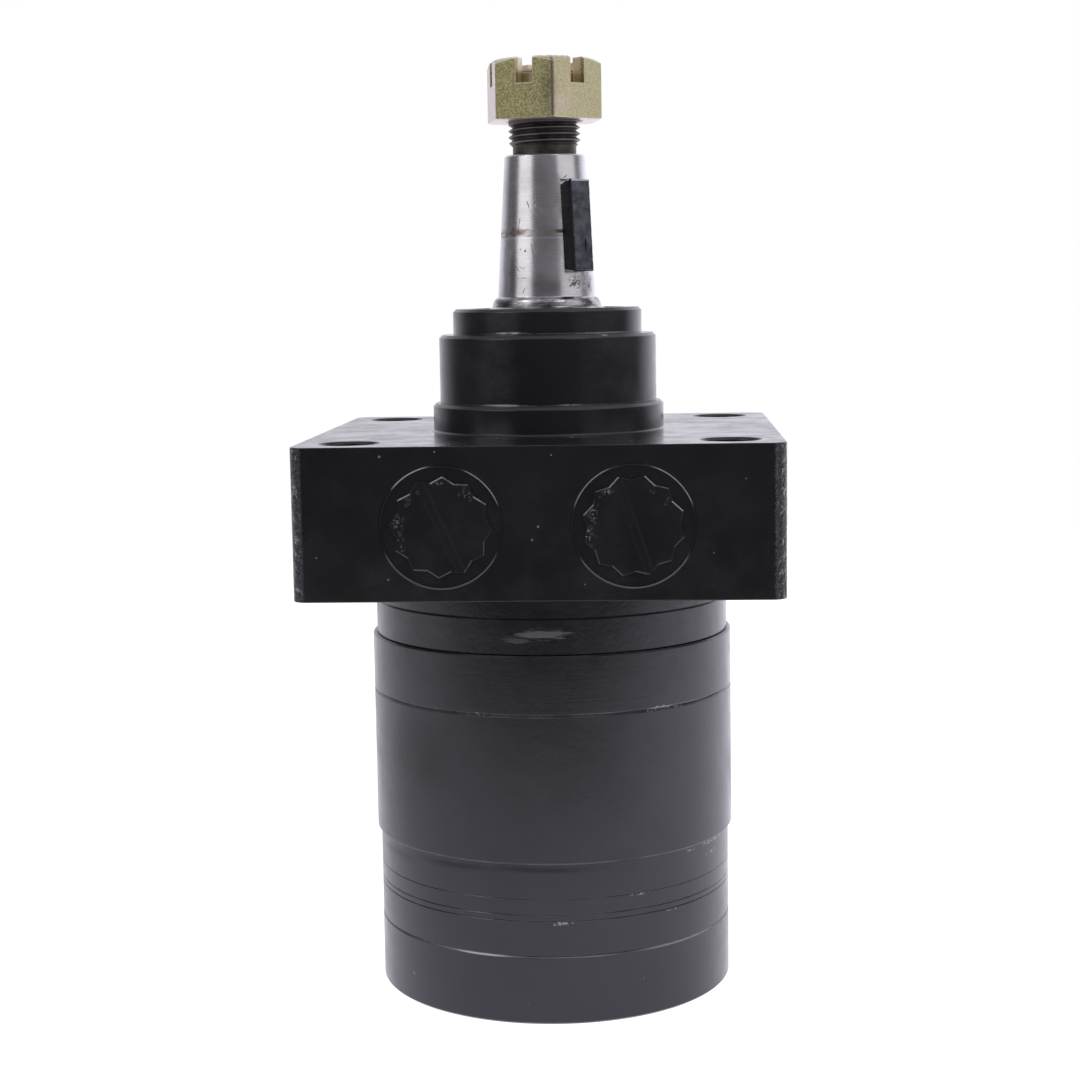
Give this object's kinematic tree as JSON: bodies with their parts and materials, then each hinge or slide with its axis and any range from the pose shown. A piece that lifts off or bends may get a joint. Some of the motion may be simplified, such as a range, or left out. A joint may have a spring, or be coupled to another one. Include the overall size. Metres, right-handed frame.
{
  "type": "orbit hydraulic motor",
  "caption": "Low-speed orbit hydraulic motor: square mounting block with two plugged side ports, round gear stack below, and a tapered keyed shaft with a slotted nut on top.",
  "frame": {"origin": "centre of the end cover's resting face, on the shaft axis", "axes": "+Z along the shaft axis from the end cover to the nut, -Y out of the port face, +X to the right as seen facing the ports"},
  "size_m": [0.1474, 0.1474, 0.301],
  "materials": {
    "black_paint_casting": "semi-gloss black enamel over cast iron",
    "black_paint_plate": "semi-gloss black enamel over turned steel",
    "black_paint_stator": "semi-gloss black enamel over turned steel",
    "black_paint_cover": "semi-gloss black enamel over turned steel",
    "bolt_steel": "black oxide",
    "ground_steel": "ground bright",
    "key_steel": "black oxide, scuffed",
    "yellow_zinc": "yellow zinc plating over steel, grainy",
    "seal_rubber": "matte",
    "o_ring_rubber": "matte",
    "seal_polymer": "filled sealing polymer",
    "plug_plastic": "moulded, painted over with the housing",
    "bearing_bronze": "turned bearing bronze",
    "inner_steel": "ground and oiled",
    "cage_steel": "pressed sheet",
    "commutator_iron": "lapped"
  },
  "bodies": {
    "case": {"housing": "black_paint_casting", "wear_plate": "black_paint_plate", "stator_ring": "black_paint_stator", "manifold_plate": "black_paint_plate", "manifold_channel_plate": "black_paint_plate", "manifold_valve_plate": "black_paint_plate", "commutator_ring": "black_paint_plate", "end_cover": "black_paint_cover", "cover_bolts": "bolt_steel", "dust_seal": "seal_rubber", "shaft_seal": "seal_rubber", "housing_seal": "o_ring_rubber", "wear_plate_seal": "o_ring_rubber", "manifold_seal": "o_ring_rubber", "commutator_ring_seal": "o_ring_rubber", "end_cover_seal": "o_ring_rubber", "plug_seal_left": "o_ring_rubber", "plug_seal_right": "o_ring_rubber", "port_plug_left": "plug_plastic", "port_plug_right": "plug_plastic", "front_bush": "bearing_bronze", "rear_bush": "bearing_bronze", "seal_backup_washer": "inner_steel", "thrust_washer_front": "inner_steel"},
    "output_shaft": {"output_shaft": "ground_steel", "shaft_key": "key_steel", "castle_nut": "yellow_zinc", "thrust_washer_rear": "inner_steel"},
    "thrust_bearing": {"thrust_cage": "cage_steel", "thrust_needles": "inner_steel"},
    "commutator": {"commutator": "commutator_iron", "commutator_seal": "seal_polymer"},
    "rotor": {"rotor": "inner_steel"},
    "drive_link": {"drive_link": "inner_steel"},
    "roller_1": {"roller_1": "inner_steel"},
    "roller_2": {"roller_2": "inner_steel"},
    "roller_3": {"roller_3": "inner_steel"},
    "roller_4": {"roller_4": "inner_steel"},
    "roller_5": {"roller_5": "inner_steel"},
    "roller_6": {"roller_6": "inner_steel"},
    "roller_7": {"roller_7": "inner_steel"}
  },
  "joints": [
    {"name": "shaft_spin", "type": "hinge", "parent": "case", "child": "output_shaft", "pos_m": [0, 0, 0.2], "axis": [0, 0, 1], "continuous": true},
    {"name": "thrust_bearing_spin", "type": "hinge", "parent": "case", "child": "thrust_bearing", "pos_m": [0, 0, 0.16225], "axis": [0, 0, 1], "continuous": true},
    {"name": "commutator_orbit", "type": "hinge", "parent": "case", "child": "commutator", "pos_m": [0, 0, 0.0275], "axis": [0, 0, 1], "continuous": true},
    {"name": "rotor_spin", "type": "hinge", "parent": "commutator", "child": "rotor", "pos_m": [0, 0.003, 0.0747], "axis": [0, 0, 1], "continuous": true},
    {"name": "drive_link_spin", "type": "hinge", "parent": "commutator", "child": "drive_link", "pos_m": [0, 0, 0.146], "axis": [0, -0.0416, 0.9991], "continuous": true},
    {"name": "roller_1_spin", "type": "hinge", "parent": "case", "child": "roller_1", "pos_m": [0, 0.0345, 0.0747], "axis": [0, 0, 1], "continuous": true},
    {"name": "roller_2_spin", "type": "hinge", "parent": "case", "child": "roller_2", "pos_m": [-0.02697, 0.02151, 0.0747], "axis": [0, 0, 1], "continuous": true},
    {"name": "roller_3_spin", "type": "hinge", "parent": "case", "child": "roller_3", "pos_m": [-0.03363, -0.00768, 0.0747], "axis": [0, 0, 1], "continuous": true},
    {"name": "roller_4_spin", "type": "hinge", "parent": "case", "child": "roller_4", "pos_m": [-0.01497, -0.03108, 0.0747], "axis": [0, 0, 1], "continuous": true},
    {"name": "roller_5_spin", "type": "hinge", "parent": "case", "child": "roller_5", "pos_m": [0.01497, -0.03108, 0.0747], "axis": [0, 0, 1], "continuous": true},
    {"name": "roller_6_spin", "type": "hinge", "parent": "case", "child": "roller_6", "pos_m": [0.03363, -0.00768, 0.0747], "axis": [0, 0, 1], "continuous": true},
    {"name": "roller_7_spin", "type": "hinge", "parent": "case", "child": "roller_7", "pos_m": [0.02697, 0.02151, 0.0747], "axis": [0, 0, 1], "continuous": true}
  ],
  "couplings": [
    {"joint": "thrust_bearing_spin", "follows": "shaft_spin", "ratio": 0.5},
    {"joint": "commutator_orbit", "follows": "shaft_spin", "ratio": -6},
    {"joint": "rotor_spin", "follows": "shaft_spin", "ratio": 7},
    {"joint": "drive_link_spin", "follows": "shaft_spin", "ratio": 7},
    {"joint": "roller_1_spin", "follows": "shaft_spin", "ratio": -4.7},
    {"joint": "roller_2_spin", "follows": "shaft_spin", "ratio": -4.7},
    {"joint": "roller_3_spin", "follows": "shaft_spin", "ratio": -4.7},
    {"joint": "roller_4_spin", "follows": "shaft_spin", "ratio": -4.7},
    {"joint": "roller_5_spin", "follows": "shaft_spin", "ratio": -4.7},
    {"joint": "roller_6_spin", "follows": "shaft_spin", "ratio": -4.7},
    {"joint": "roller_7_spin", "follows": "shaft_spin", "ratio": -4.7}
  ]
}
